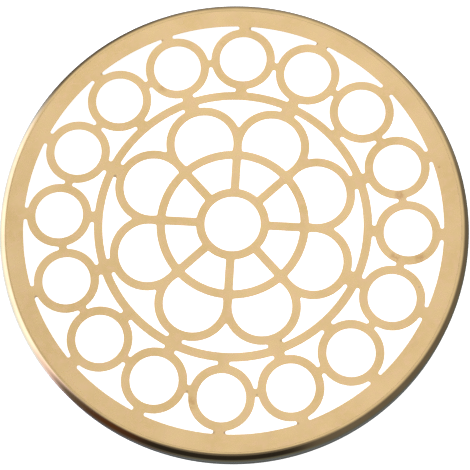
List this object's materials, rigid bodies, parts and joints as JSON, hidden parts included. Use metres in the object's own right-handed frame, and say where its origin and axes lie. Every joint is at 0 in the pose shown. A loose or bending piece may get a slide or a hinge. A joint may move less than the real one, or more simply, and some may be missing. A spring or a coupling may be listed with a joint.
{
  "type": "transit token",
  "caption": "Round openwork transit token: a thin pierced brass disc with a rose-window pattern, held in a deep rim with rounded edges.",
  "frame": {"origin": "centre of the token's back, on the surface that it rests on", "axes": "+Z out of the pierced face; +X and +Y each run along a spoke and through a round hole"},
  "size_m": [0.028, 0.028, 0.0022],
  "materials": {
    "face_brass": "satin, very fine grain",
    "rim_brass": "polished",
    "back_brass": "polished, slightly worn"
  },
  "bodies": {
    "root": {"tracery_plate": "face_brass", "rim_hoop": "rim_brass", "back_ring": "back_brass"}
  },
  "joints": []
}
